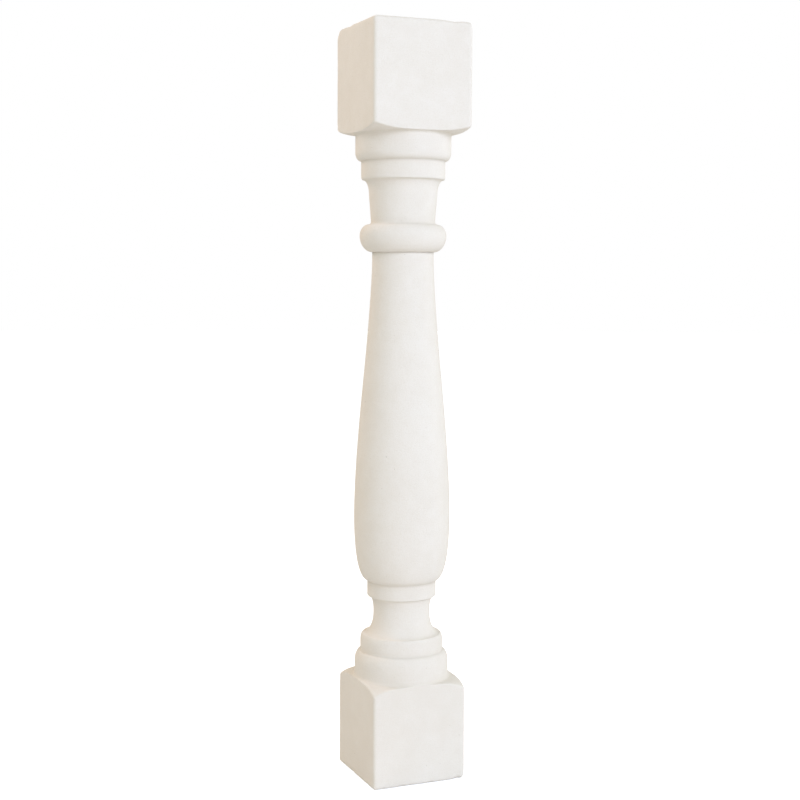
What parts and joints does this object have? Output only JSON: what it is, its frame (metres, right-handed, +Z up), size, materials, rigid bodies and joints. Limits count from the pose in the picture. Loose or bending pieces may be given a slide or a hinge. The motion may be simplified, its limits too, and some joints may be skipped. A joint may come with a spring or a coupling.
{
  "type": "concrete baluster",
  "caption": "Cast white concrete baluster: vase-shaped turned shaft with a ring and stepped bands, between a square cap block and a square base block.",
  "frame": {"origin": "centre of the square underside, on the shaft's axis", "axes": "+Z up along the shaft, X and Y square to the flat sides of the blocks"},
  "size_m": [0.104, 0.104, 0.756],
  "materials": {
    "white_concrete": "smooth cast white concrete, matt, faintly mottled, fine air pores"
  },
  "bodies": {
    "root": {"baluster": "white_concrete"}
  },
  "joints": []
}
